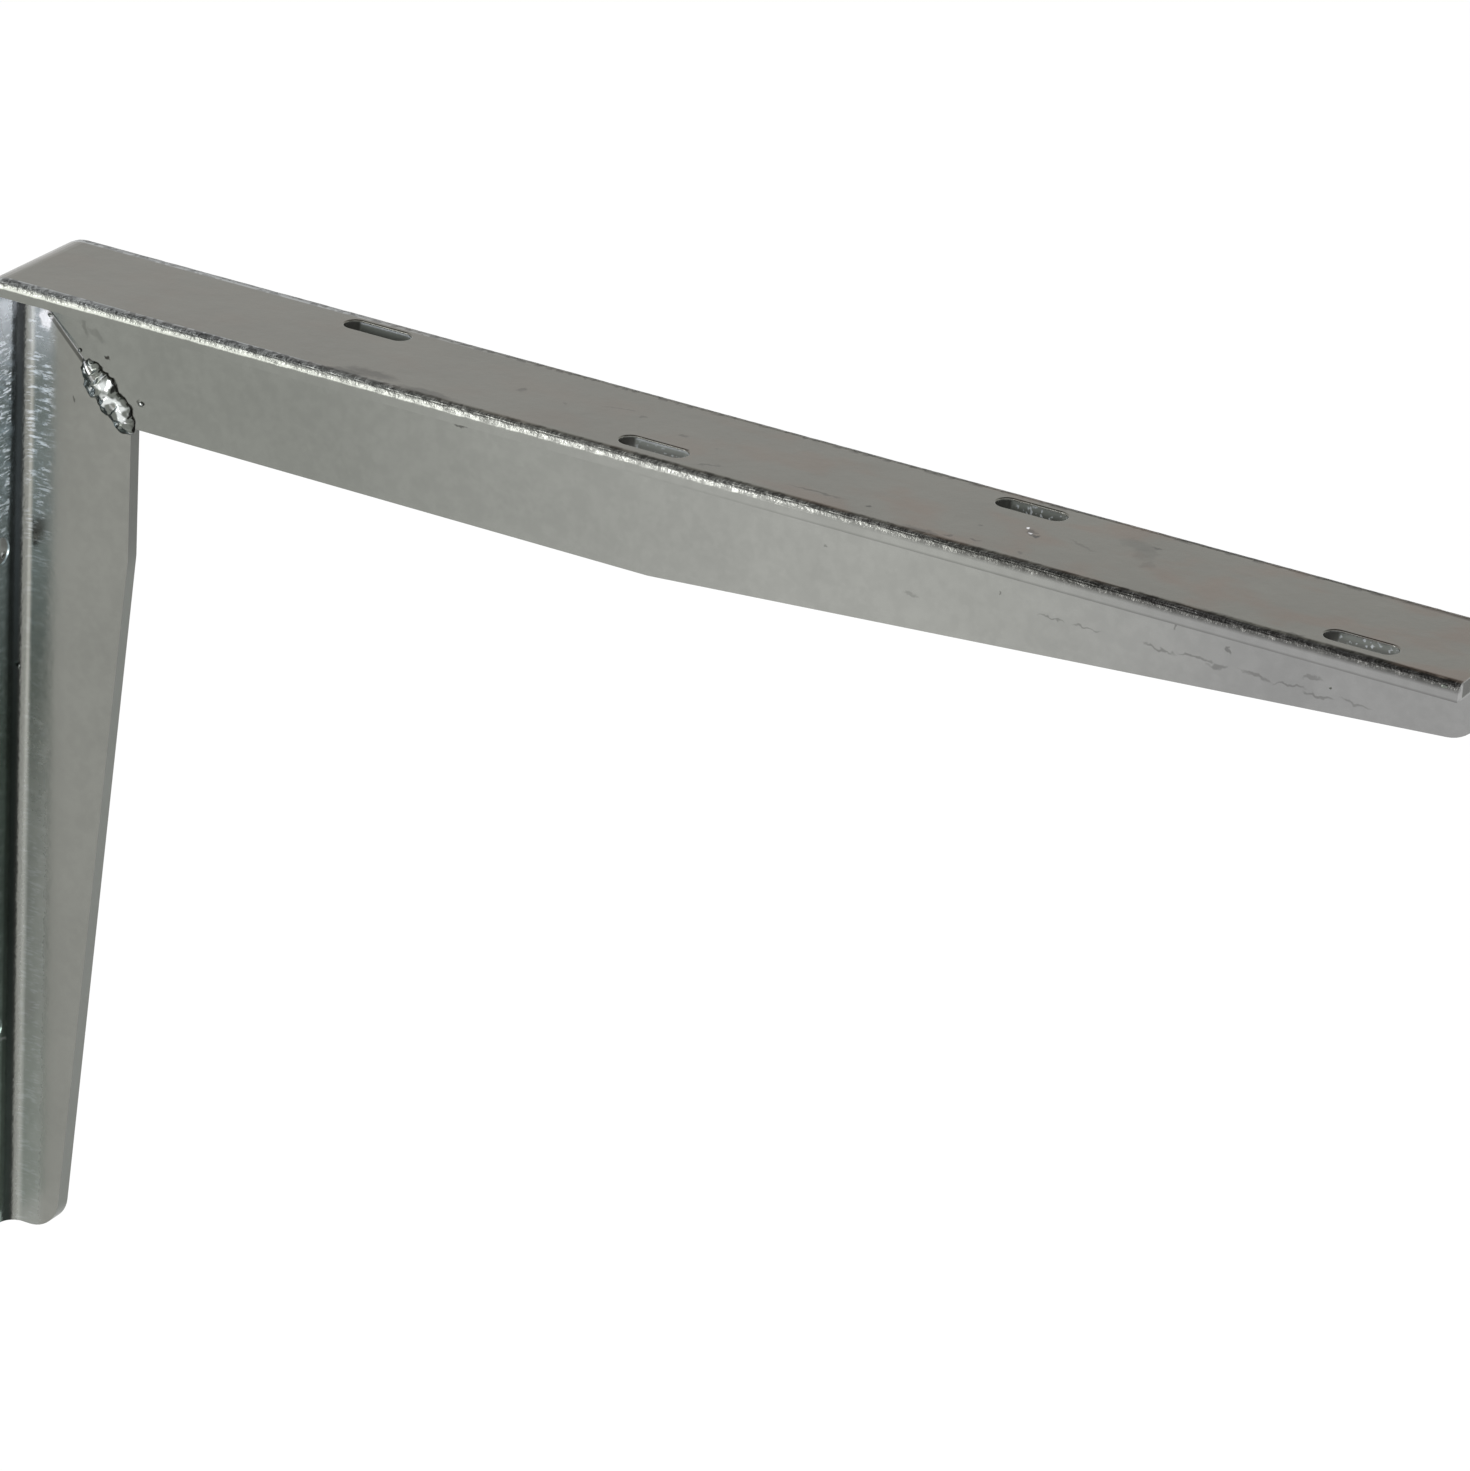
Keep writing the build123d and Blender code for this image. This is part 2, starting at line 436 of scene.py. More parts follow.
class ZincGroups:
    """Shader node groups that the zinc finishes share."""

    def __init__(self, sizes: BarSizes) -> None:
        """Build each group once.

        Args:
            sizes: Sizes of the bar.
        """
        self.sizes = sizes
        self.place = self.build_place()
        self.mark = self.build_mark()
        self.mottle = self.build_mottle()
        self.grain = self.build_grain()
        self.feathers = self.build_feathers()

    def build_place(self) -> Tree:
        """Build the group that says where on the bar a point lies, in millimetres and as masks."""
        graph, given = new_group("bar_place", {"Point": "Vector", "Facing": "Vector"})
        wall, across, height = (graph.math("DIVIDE", part, MM) for part in graph.parts(given["Point"]))
        down = graph.math("SUBTRACT", self.sizes.top / MM, height)
        straight = graph.math("MINIMUM", wall, down)
        bend = self.sizes.bend_radius / MM
        inside_x = graph.most(graph.math("SUBTRACT", bend, wall), 0.0)
        inside_z = graph.most(graph.math("SUBTRACT", bend, down), 0.0)
        round_depth = graph.math("SUBTRACT", bend, graph.span(inside_x, inside_z))
        depth = graph.math("MINIMUM", straight, round_depth)
        spread = graph.math("ABSOLUTE", across)
        half = self.sizes.half_width / MM
        flange = self.sizes.flange / MM
        edge = graph.step(spread, half - 2.2, half - 1.0)
        edge = graph.product(edge, graph.step(depth, flange + 0.6, flange))
        rim = graph.product(graph.step(spread, half - 3.0, half - 2.5), graph.step(depth, 1.5, 0.3))
        web = graph.product(graph.step(spread, 4.6, 3.4), graph.step(depth, flange + 1, flange + 4.6))
        top = graph.product(graph.step(depth, 0.45, 0.2), graph.step(wall, 0.2, 3.0))
        leg = graph.step(graph.math("SUBTRACT", down, wall), -1.0, 1.0)
        inside = graph.product(graph.step(depth, 0.3, 0.8), graph.step(depth, flange - 0.3, flange - 0.8))
        bore = graph.product(inside, graph.step(spread, half - 2.4, half - 3.0))
        outward, _, upward = graph.parts(given["Facing"])
        along = graph.most(graph.math("ABSOLUTE", outward), graph.math("ABSOLUTE", upward))
        cut = graph.product(web, graph.step(along, 0.55, 0.9))
        toe = graph.product(graph.step(along, 0.08, 0.25), graph.step(along, 0.8, 0.6))
        return close_group(
            graph,
            Wall=wall,
            Down=down,
            Across=across,
            Spread=spread,
            Depth=depth,
            Leg=leg,
            Edge=edge,
            Rim=rim,
            Web=web,
            Top=top,
            Bore=bore,
            Cut=cut,
            Toe=graph.product(toe, graph.step(depth, 12, 14)),
            Outward=outward,
        )

    def build_mark(self) -> Tree:
        """Build the group that masks one soft ellipse on a flat face."""
        names = ("First", "Second", "Centre First", "Centre Second")
        names += ("Half Length", "Half Width", "Turn", "Strength")
        graph, given = new_group("zinc_mark", {name: "Float" for name in names})
        first = graph.math("SUBTRACT", given["First"], given["Centre First"])
        second = graph.math("SUBTRACT", given["Second"], given["Centre Second"])
        cosine = graph.math("COSINE", given["Turn"])
        sine = graph.math("SINE", given["Turn"])
        along = graph.total((graph.product(first, cosine), graph.product(second, sine)))
        aside = graph.math("SUBTRACT", graph.product(second, cosine), graph.product(first, sine))
        along = graph.math("DIVIDE", along, given["Half Length"])
        aside = graph.math("DIVIDE", aside, given["Half Width"])
        mask = graph.step(graph.span(along, aside), 1.15, 0.45)
        return close_group(graph, Mask=graph.product(mask, given["Strength"]))

    def build_mottle(self) -> Tree:
        """Build the group for a zinc coat's cloudy shade and flecks, from -1 to 1, and its warm tint."""
        graph, given = new_group("zinc_mottle", {"Point": "Vector"})
        point = given["Point"]
        clouds = graph.noise(point, scale=34.0, detail=3.0)
        flecks = graph.noise(point, scale=260.0, detail=3.0, roughness=0.6)
        tint = graph.noise(graph.stretch(point, Vector((1, 1.6, 1.3))), scale=52.0)
        return close_group(
            graph,
            Clouds=graph.step(clouds, 0.3, 0.7, -1.0, 1.0),
            Flecks=graph.step(flecks, 0.34, 0.66, -1.0, 1.0),
            Tint=graph.step(tint, 0.45, 0.68),
        )

    def build_grain(self) -> Tree:
        """Build the group for the height of the coat's fine grain and its lumps, in millimetres."""
        graph, given = new_group("zinc_grain", {"Point": "Vector", "Lumps": "Float"})
        point = given["Point"]
        skin = graph.product(graph.noise(point, scale=900.0), 0.012)
        waves = graph.product(graph.noise(point, scale=190.0), 0.05)
        lumps = graph.product(graph.noise(point, scale=1000.0, detail=3.0, roughness=0.6), given["Lumps"])
        return close_group(graph, Height=graph.total((skin, waves, lumps)))

    def build_feathers(self) -> Tree:
        """Build the group for short frost-like streaks across the bar, from 0 to 1."""
        graph, given = new_group("zinc_feathers", {"Point": "Vector"})
        slant = graph.stretch(given["Point"], Vector((260, 260, 1300)), Vector((0, math.radians(-24), 0)))
        fine = graph.step(graph.noise(slant, scale=1.0, detail=3.0, roughness=0.62), 0.47, 0.62)
        patches = graph.step(graph.noise(given["Point"], scale=300.0), 0.36, 0.6)
        return close_group(graph, Streaks=graph.product(fine, patches))


@dataclass(frozen=True)
class BarFinish:
    """Zinc coat of the bar: its tones by face, in linear colour, and its gloss, with painted highlights,
    reflections and shade among the tones.
    """

    name: str = "galvanised_steel"
    # The web's tones along the arm are a painted reflection: the web grows lighter from the corner towards
    # the tip.
    web_inner: Colour = srgb(134, 136, 130)
    web_middle: Colour = srgb(162, 163, 158)
    web_outer: Colour = srgb(149, 149, 148)
    shelf_face: Colour = srgb(111, 110, 103)
    warm_tint: Colour = srgb(114, 102, 92)
    leg_web: Colour = srgb(137, 138, 132)
    wall_front: Colour = srgb(196, 212, 218)
    wall_low: Colour = srgb(116, 131, 124)
    wall_foot: Colour = srgb(176, 196, 186)
    # Pale tone for the frost-like spangle streaks with their painted sheen, and for painted highlights on
    # the edges, the leg's toe and the slot lips.
    frost_and_sheen: Colour = srgb(222, 228, 234)
    # Pale tone for the light marks and for the seam's painted highlight.
    white: Colour = srgb(248, 248, 252)
    dull: Colour = srgb(126, 130, 125)
    cut: Colour = srgb(82, 84, 80)
    cut_low: Colour = srgb(96, 99, 94)
    # Dark tone for the dark marks and stains, and for painted shade: the root band, the far edge, the bend,
    # the edge's foot, the slot ends and the seam's shaded side.
    shade_and_stain: Colour = srgb(48, 47, 43)
    roughness: float = 0.2

    def build(self, groups: ZincGroups) -> bpy.types.Material:
        """Make the material.

        Args:
            groups: The node groups that it uses.

        Returns:
            The finished material.
        """
        material = bpy.data.materials.new(self.name)
        graph = clear_graph(material)
        texture = graph.add("ShaderNodeTexCoord")
        point = texture.outputs["Object"]
        place = graph.group(groups.place, Point=point, Facing=texture.outputs["Normal"])
        mottle = graph.group(groups.mottle, Point=point)
        frost_and_sheen = self.frost_sheen_mask(graph, groups, point, place)
        dull = self.dull_mask(graph, place)
        dark, light = self.mark_masks(graph, groups, point, place)
        shaded, lit = self.seam_masks(graph, place)
        # The seam's painted shade joins the dark marks, and its painted highlight joins the light ones.
        dark = graph.most(dark, shaded)
        light = graph.most(light, lit)

        colour = self.face_colour(graph, point, place)
        flecks = graph.product(mottle["Flecks"], 0.03)
        shade = graph.total((1.0, graph.product(mottle["Clouds"], 0.035), flecks))
        warm = graph.product(mottle["Tint"], place["Top"], graph.step(place["Wall"], 150, 300, 0.15, 0.6))
        colour = graph.mix(warm, colour, self.warm_tint)
        colour = graph.mix(dull, colour, self.dull)
        colour = graph.mix(self.slot_end_mask(graph, place), colour, self.shade_and_stain)
        colour = graph.mix(self.slot_lip_mask(graph, point, place), colour, self.frost_and_sheen)
        colour = graph.mix(1.0, colour, shade, "MULTIPLY")
        colour = graph.mix(frost_and_sheen, colour, self.frost_and_sheen)
        colour = graph.mix(dark, colour, self.shade_and_stain)
        colour = graph.mix(light, colour, self.white)

        shader = graph.add("ShaderNodeBsdfPrincipled")
        # The painted sheen of the streaks is made matt, so that it shows as pale colour and not as a
        # reflection.
        sheen_matt = graph.product(frost_and_sheen, graph.math("SUBTRACT", 0.8, graph.product(place["Web"], 0.5)))
        matt = graph.most(sheen_matt, graph.product(dull, 0.8), graph.product(place["Cut"], 0.7))
        matt = graph.most(matt, graph.product(light, place["Web"], 0.85))
        graph.feed(shader.inputs["Metallic"], graph.rest(matt))
        graph.feed(shader.inputs["Base Color"], colour)
        rough = graph.total((self.roughness, flecks, graph.product(frost_and_sheen, 0.2), graph.product(dull, 0.2)))
        rough = graph.total((rough, graph.product(place["Cut"], 0.15), graph.product(place["Edge"], -0.07)))
        graph.feed(shader.inputs["Roughness"], rough)

        crown = graph.product(place["Edge"], graph.step(place["Depth"], 2.2, 1.0, 0.02, 0.3))
        lumps = graph.total((crown, graph.product(self.root_mask(graph, place), 0.1)))
        height = graph.group(groups.grain, Point=point, Lumps=lumps)["Height"]
        height = graph.total((height, graph.product(frost_and_sheen, 0.05), graph.product(dark, -0.02)))
        graph.feed(shader.inputs["Normal"], graph.bump(height))
        graph.show(shader.outputs[0])
        return material

    def face_colour(self, graph: Graph, point: Value, place: dict) -> Socket:
        """Mix the tones of the arm, the leg, the shelf face and the edges by place, with painted reflection,
        highlights and shade among them.
        """
        # Painted reflection: the arm's web lightens from the corner towards the tip.
        web = graph.mix(graph.step(place["Wall"], 60, 275), self.web_inner, self.web_middle)
        web = graph.mix(graph.step(place["Wall"], 300, 400), web, self.web_outer)
        web = graph.mix(place["Leg"], web, self.leg_web)
        # Painted sheen: the wall's front turns pale towards the bend.
        wall = graph.mix(graph.step(place["Down"], 50, 8), self.wall_front, self.frost_and_sheen)
        wall = graph.mix(graph.step(place["Down"], 60, 150), wall, self.wall_low)
        wall = graph.mix(graph.step(place["Down"], 195, 285), wall, self.wall_foot)
        front = graph.product(place["Leg"], graph.rest(place["Web"]))
        spread = place["Spread"]
        front = graph.product(front, graph.step(place["Depth"], 4.0, 4.7), graph.step(spread, 3.6, 5.0))
        # Painted shade and dark reflection: a dark band on the wall's front beside the root fillet.
        wall = graph.mix(graph.step(spread, 8.2, 7.2, 0.0, 0.5), wall, self.shade_and_stain)
        colour = graph.mix(front, web, wall)
        colour = graph.mix(place["Top"], colour, self.shelf_face)
        cut = graph.mix(graph.step(place["Down"], 74, 90), self.cut, self.cut_low)
        colour = graph.mix(place["Cut"], colour, cut)
        # Painted highlight along the rounded toe of the leg's web.
        colour = graph.mix(graph.product(place["Toe"], place["Leg"], 0.32), colour, self.frost_and_sheen)
        colour = self.edge_colour(graph, point, place, colour)
        # Painted shade: the far top edge is darkened, so that its round shows no bright reflection.
        behind = graph.product(graph.step(place["Across"], 18.6, 19.8), graph.step(place["Depth"], 1.0, 0.5))
        colour = graph.mix(graph.product(behind, 0.7), colour, self.shade_and_stain)
        # Painted shade on the outer round of the bend beside the wall.
        bend = graph.product(graph.step(place["Depth"], 0.45, 0.2), graph.step(place["Down"], 12, 8))
        bend = graph.product(bend, graph.step(place["Wall"], 6.0, 1.5, 0.0, 0.35))
        colour = graph.mix(bend, colour, self.shade_and_stain)
        # Painted shade: a dark line along the foot of the flange's edge, further along the arm.
        foot = graph.product(place["Edge"], graph.step(place["Depth"], 4.1, 4.9))
        foot = graph.product(foot, graph.step(place["Wall"], 180, 320, 0.0, 0.35))
        return graph.mix(foot, colour, self.shade_and_stain)

    def edge_colour(self, graph: Graph, point: Value, place: dict, colour: Value) -> Socket:
        """Add the painted light and shade of the flange's rounded edge: pale near the corner as a painted
        highlight, dark and spotted further out as painted dark reflection.
        """
        pale = graph.product(place["Rim"], graph.step(place["Wall"], 170, 80, 0.0, 0.3))
        colour = graph.mix(pale, colour, self.frost_and_sheen)
        spots = graph.step(graph.noise(point, 480.0, 1.0), 0.5, 0.6, 0.0, 0.5)
        colour = graph.mix(graph.product(place["Rim"], spots), colour, self.shade_and_stain)
        # Painted shade on the rim near the arm's end, and on the edge's lower part further along.
        end = graph.product(place["Rim"], graph.step(place["Wall"], 400, 435, 0.0, 0.8))
        low = graph.product(place["Edge"], graph.step(place["Depth"], 3.0, 1.5))
        low = graph.product(low, graph.step(place["Wall"], 235, 330, 0.0, 0.75))
        return graph.mix(graph.most(end, low), colour, self.shade_and_stain)

    def root_mask(self, graph: Graph, place: dict) -> Value:
        """Mask the rolled fillet between the flange and the web."""
        beside = graph.product(graph.step(place["Spread"], 2.9, 3.6), graph.step(place["Spread"], 8.2, 7.2))
        return graph.product(beside, graph.step(place["Depth"], 5.0, 5.5))

    def dull_mask(self, graph: Graph, place: dict) -> Value:
        """Mask the duller zinc: the walls of slots and holes, and the lower leg beside its root."""
        beside_root = graph.product(place["Web"], place["Leg"], graph.step(place["Wall"], 18.0, 14.5))
        beside_root = graph.product(beside_root, graph.step(place["Down"], 90, 200, 0.0, 0.6))
        return graph.most(place["Bore"], beside_root)

    def slot_end_mask(self, graph: Graph, place: dict) -> Value:
        """Mask the painted shade at the inner ends of the slots and holes, and at the foot of their walls.
        """
        ends = graph.step(place["Outward"], 0.02, 0.35, 0.0, 0.9)
        foot = graph.step(place["Depth"], 1.2, 3.0, 0.0, 0.6)
        return graph.product(place["Bore"], graph.most(ends, foot))

    def slot_lip_mask(self, graph: Graph, point: Value, place: dict) -> Value:
        """Mask the painted highlight on the upper lip of the slots and holes, and the painted sparkles on
        the outer ones' walls.
        """
        outer = graph.step(place["Wall"], 150, 290)
        lip = graph.product(graph.step(place["Depth"], 1.3, 0.7, 0.0, 0.8), graph.rest(outer))
        sparkles = graph.product(graph.step(graph.noise(point, 900.0, 1.0), 0.6, 0.7, 0.0, 0.6), outer)
        away = graph.step(place["Outward"], 0.3, 0.0)
        return graph.product(place["Bore"], graph.most(lip, sparkles), away)

    def seam_masks(self, graph: Graph, place: dict) -> tuple[Value, Value]:
        """Mask the shaded and the lit side of the closed cut on the corner's diagonal."""
        aside = graph.math("SUBTRACT", place["Wall"], place["Down"])
        reach = graph.product(graph.step(place["Depth"], 7.0, 9.0), graph.step(place["Depth"], 27.0, 25.5))
        reach = graph.product(place["Web"], reach)
        shaded = graph.step(graph.math("ABSOLUTE", graph.math("ADD", aside, 0.75)), 0.75, 0.35, 0.0, 0.6)
        lit = graph.step(graph.math("ABSOLUTE", graph.math("SUBTRACT", aside, 0.35)), 0.6, 0.2, 0.0, 0.7)
        return graph.product(shaded, reach), graph.product(lit, reach)

    def frost_sheen_mask(self, graph: Graph, groups: ZincGroups, point: Value, place: dict) -> Value:
        """Mask the frost-like streaks on the upper front of the wall flange and along the leg's root: the
        spangle's streaky pattern, with a painted sheen standing for a bright lamp's reflection in it.
        """
        streaks = graph.group(groups.feathers, Point=point)["Streaks"]
        front = graph.product(graph.step(place["Spread"], 7.6, 8.6), graph.step(place["Depth"], 4.6, 4.9))
        web = graph.product(place["Web"], graph.step(place["Wall"], 17.5, 13.0))
        high = graph.total((graph.step(place["Down"], 100, 36, 0.0, 0.85), 0.1))
        full = graph.step(place["Down"], 38, 12, 0.0, 0.45)
        streaks = graph.most(graph.product(streaks, high), full)
        return graph.product(streaks, graph.most(front, web), place["Leg"])

    def mark_masks(self, graph: Graph, groups: ZincGroups, point: Value, place: dict) -> tuple[Value, Value]:
        """Add up the single marks on each face.

        Args:
            graph: The material's graph.
            groups: The node groups that it uses.
            point: Object coordinates.
            place: Outputs of the place group.

        Returns:
            The mask of the dark marks and the mask of the light ones.
        """
        wobble = graph.add("ShaderNodeTexNoise")
        graph.feed(wobble.inputs["Vector"], point)
        wobble.inputs["Scale"].default_value = 420.0
        red, green, _ = graph.parts(wobble.outputs["Color"])
        shift_first = graph.step(red, 0.2, 0.8, -1.1, 1.1)
        shift_second = graph.step(green, 0.2, 0.8, -0.7, 0.7)
        near = graph.step(place["Across"], 0.0, -0.5)
        axes = {
            Face.TOP: (place["Wall"], place["Across"], place["Top"]),
            Face.WEB: (place["Wall"], place["Down"], graph.product(place["Web"], near)),
            Face.WALL: (place["Across"], place["Down"], graph.step(place["Wall"], 7, 6)),
        }
        dark: list[Value] = []
        light: list[Value] = []
        for mark in MARKS:
            first, second, mask = axes[mark.face]
            spot = graph.group(
                groups.mark,
                First=graph.math("ADD", first, shift_first),
                Second=graph.math("ADD", second, shift_second),
                Centre_First=mark.first,
                Centre_Second=mark.second,
                Half_Length=mark.half_length,
                Half_Width=mark.half_width,
                Turn=math.radians(mark.turn),
                Strength=abs(mark.strength),
            )["Mask"]
            (dark if mark.strength > 0 else light).append(graph.product(spot, mask))
        return graph.math("MINIMUM", graph.total(dark), 0.9), graph.math("MINIMUM", graph.total(light), 0.9)


@dataclass(frozen=True)
class DropFinish:
    """Shiny zinc of the weld beads, drips and spatter, with painted highlights in its pale patches and
    painted shade where they meet the web.
    """

    name: str = "bright_zinc"
    light: Colour = srgb(226, 230, 228)
    dull: Colour = srgb(112, 116, 110)
    # Dark tone for the painted shade where the beads and drops meet the web.
    shade_and_stain: Colour = srgb(48, 47, 43)
    roughness: float = 0.1

    def build(self, groups: ZincGroups) -> bpy.types.Material:
        """Make the material.

        Args:
            groups: The node groups that it uses.

        Returns:
            The finished material.
        """
        material = bpy.data.materials.new(self.name)
        graph = clear_graph(material)
        point = graph.add("ShaderNodeTexCoord").outputs["Object"]
        mottle = graph.group(groups.mottle, Point=point)
        # The pale patches are partly the zinc's own brighter facets and partly painted highlights.
        patches = graph.step(graph.noise(point, 300.0, 1.0), 0.48, 0.62)
        colour = graph.mix(patches, self.dull, self.light)
        place = graph.group(groups.place, Point=point, Facing=(0.0, 0.0, 0.0))
        # Painted shade where the beads and drops meet the web.
        contact = graph.product(graph.step(place["Spread"], 3.1, 2.6), graph.step(place["Depth"], 6.0, 8.0))
        colour = graph.mix(graph.product(contact, 0.6), colour, self.shade_and_stain)
        shader = graph.add("ShaderNodeBsdfPrincipled")
        shader.inputs["Metallic"].default_value = 1.0
        graph.feed(shader.inputs["Base Color"], colour)
        rough = graph.math("ADD", self.roughness, graph.product(mottle["Flecks"], 0.04))
        graph.feed(shader.inputs["Roughness"], rough)
        height = graph.group(groups.grain, Point=point, Lumps=0.02)["Height"]
        graph.feed(shader.inputs["Normal"], graph.bump(height))
        graph.show(shader.outputs[0])
        return material


def finish_piece(mesh: bmesh.types.BMesh, name: str, material: bpy.types.Material) -> bpy.types.Object:
    """Turn a bmesh into a piece that rides on the bracket.

    Args:
        mesh: The finished mesh, which is freed.
        name: The piece's name.
        material: Its finish.

    Returns:
        The piece's object.
    """
    data = new_mesh(mesh, name)
    data.polygons.foreach_set("use_smooth", [True] * len(data.polygons))
    data.materials.append(material)
    piece = new_object(name, data)
    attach(piece, BODY)
    log.info("%s: %d faces", name, len(data.polygons))
    return piece


@dataclass
class Bar:
    """The folded T bar with its lumpy rolled edges."""

    sizes: BarSizes
    slice_step: float = 1.3 * MM
    bend_slices: int = 20
    band: float = 3.2 * MM
    edge_cuts: tuple[float, ...] = (0.2 * MM, 0.6 * MM, 1.0 * MM, 1.4 * MM, 1.8 * MM, 2.3 * MM, 2.9 * MM)
    top_cuts: tuple[float, ...] = (0.8 * MM, 1.3 * MM, 1.8 * MM, 2.3 * MM, 2.8 * MM)
    near_round: float = 2.8 * MM
    far_round: float = 0.7 * MM
    lump_height: float = 0.3 * MM
    broad_lump: float = 2.4 * MM
    fine_lump: float = 1.3 * MM
    sharp_angle: float = math.radians(50)

    def build(self, material: bpy.types.Material) -> bpy.types.Object:
        """Make the bar's piece.

        Args:
            material: The bar's finish.

        Returns:
            The piece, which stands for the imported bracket.
        """
        mesh = bmesh.new()
        mesh.from_mesh(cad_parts[NODE].data)
        bmesh.ops.remove_doubles(mesh, verts=mesh.verts, dist=MERGE)
        self.slice_edges(mesh)
        self.roughen(mesh)
        self.sharpen(mesh)
        piece = finish_piece(mesh, "bar", material)
        weights = piece.modifiers.new("flat_faces", "WEIGHTED_NORMAL")
        weights.mode = "FACE_AREA"
        weights.keep_sharp = True
        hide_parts(NODE)
        return piece

    def slice_edges(self, mesh: bmesh.types.BMesh) -> None:
        """Cut the two edges of the flange finely, lengthwise and across, so that they can take lumps."""
        sizes = self.sizes
        inner = sizes.half_width - self.band
        for side in (-1, 1):
            edge = self.cut(mesh, mesh.faces, Vector((0, side * inner, 0)), Vector((0, 1, 0)))
            edge = [face for face in edge if face.calc_center_median().y * side > inner]
            for inset in self.top_cuts:
                point = Vector((0, side * (sizes.half_width - inset), 0))
                edge = self.cut(mesh, edge, point, Vector((0, 1, 0)))
        axis = Vector((sizes.bend_radius, 0, sizes.top - sizes.bend_radius))
        arm, leg, bend = [], [], []
        for face in mesh.faces:
            centre = face.calc_center_median()
            if abs(centre.y) > inner:
                (arm if centre.x > axis.x else leg if centre.z < axis.z else bend).append(face)
        for depth in self.edge_cuts:
            arm = self.cut(mesh, arm, Vector((0, 0, sizes.top - depth)), Vector((0, 0, 1)))
            leg = self.cut(mesh, leg, Vector((depth, 0, 0)), Vector((1, 0, 0)))
        self.slice_bend(mesh, bend, axis)
        runs = (
            (arm, Vector((1, 0, 0)), axis.x, sizes.reach),
            (leg, Vector((0, 0, -1)), -axis.z, -sizes.foot),
        )
        for faces, way, start, end in runs:
            count = round((end - start) / self.slice_step)
            marks = [start + (end - start) * step / count for step in range(1, count)]
            self.slice_between(mesh, faces, way, marks)

    def slice_bend(self, mesh: bmesh.types.BMesh, faces: Faces, axis: Vector) -> None:
        """Cut the bend's edges into wedges, and each wedge at the same depths as the straight runs.

        Args:
            mesh: The bar's mesh.
            faces: The faces of the bend's edges.
            axis: A point of the bend's axis.
        """
        wedge_angle = math.pi / 2 / self.bend_slices
        for step in range(1, self.bend_slices):
            angle = wedge_angle * step
            faces = self.cut(mesh, faces, axis, Vector((math.cos(angle), 0, math.sin(angle))))
        wedges: dict[int, Faces] = {}
        for face in faces:
            ray = face.calc_center_median() - axis
            wedges.setdefault(int(math.atan2(-ray.x, ray.z) / wedge_angle), []).append(face)
        for step, wedge in wedges.items():
            angle = wedge_angle * (step + 0.5)
            outward = Vector((-math.sin(angle), 0, math.cos(angle)))
            for depth in self.edge_cuts:
                wedge = self.cut(mesh, wedge, axis + outward * (self.sizes.bend_radius - depth), outward)

    def slice_between(
        self, mesh: bmesh.types.BMesh, faces: Faces, way: Vector, marks: list[float]
    ) -> None:
        """Cut a straight run into slices, by halves.

        Args:
            mesh: The bar's mesh.
            faces: The run's faces.
            way: Direction of the run.
            marks: Distances along it where it is cut.
        """
        if not marks:
            return
        middle = len(marks) // 2
        sides: tuple[list, list] = ([], [])
        for face in self.cut(mesh, faces, way * marks[middle], way):
            sides[face.calc_center_median().dot(way) > marks[middle]].append(face)
        self.slice_between(mesh, sides[0], way, marks[:middle])
        self.slice_between(mesh, sides[1], way, marks[middle + 1 :])

    def cut(
        self, mesh: bmesh.types.BMesh, faces: Iterable[bmesh.types.BMFace], point: Vector, normal: Vector
    ) -> Faces:
        """Cut some faces along a plane.

        Args:
            mesh: The bar's mesh.
            faces: The faces to cut.
            point: A point of the plane.
            normal: The plane's normal.

        Returns:
            The same faces with those that the cut adds.
        """
        parts: set = set()
        for face in faces:
            parts.add(face)
            parts.update(face.edges)
            parts.update(face.verts)
        result = bmesh.ops.bisect_plane(mesh, geom=list(parts), dist=MERGE, plane_co=point, plane_no=normal)
        return [part for part in result["geom"] if isinstance(part, bmesh.types.BMFace)]

    def roughen(self, mesh: bmesh.types.BMesh) -> None:
        """Round the flange's outer edges and raise lumps of zinc on them."""
        sizes = self.sizes
        mesh.normal_update()
        moves = []
        for vertex in mesh.verts:
            depth = sizes.depth(vertex.co)
            edge = smooth_step(abs(vertex.co.y), sizes.half_width - 2.4 * MM, sizes.half_width - 1.0 * MM)
            edge *= smooth_step(depth, sizes.flange + 0.5 * MM, sizes.flange - 0.3 * MM)
            edge *= 0.2 + 0.8 * smooth_step(depth, 2.2 * MM, 1.2 * MM)
            edge *= smooth_step(vertex.co.y, 4.0 * MM, -4.0 * MM) * 0.75 + 0.25
            at_end = min(sizes.reach - vertex.co.x, vertex.co.z - sizes.foot)
            broad = noise.noise(vertex.co / self.broad_lump)
            fine = noise.noise(vertex.co / self.fine_lump + Vector((7, 3, 5)))
            lump = min(broad * 0.6 + fine * 0.5 - 0.5, 0.0) * self.lump_height
            lump *= smooth_step(at_end, 0.0, 0.6 * MM)
            moves.append(self.rounding(vertex.co, depth) + vertex.normal * (lump * edge))
        for vertex, move in zip(mesh.verts, moves):
            vertex.co += move

    def sharpen(self, mesh: bmesh.types.BMesh) -> None:
        """Keep the shading of two faces apart where they meet at a hard angle."""
        mesh.normal_update()
        for edge in mesh.edges:
            edge.smooth = edge.calc_face_angle(0.0) < self.sharp_angle

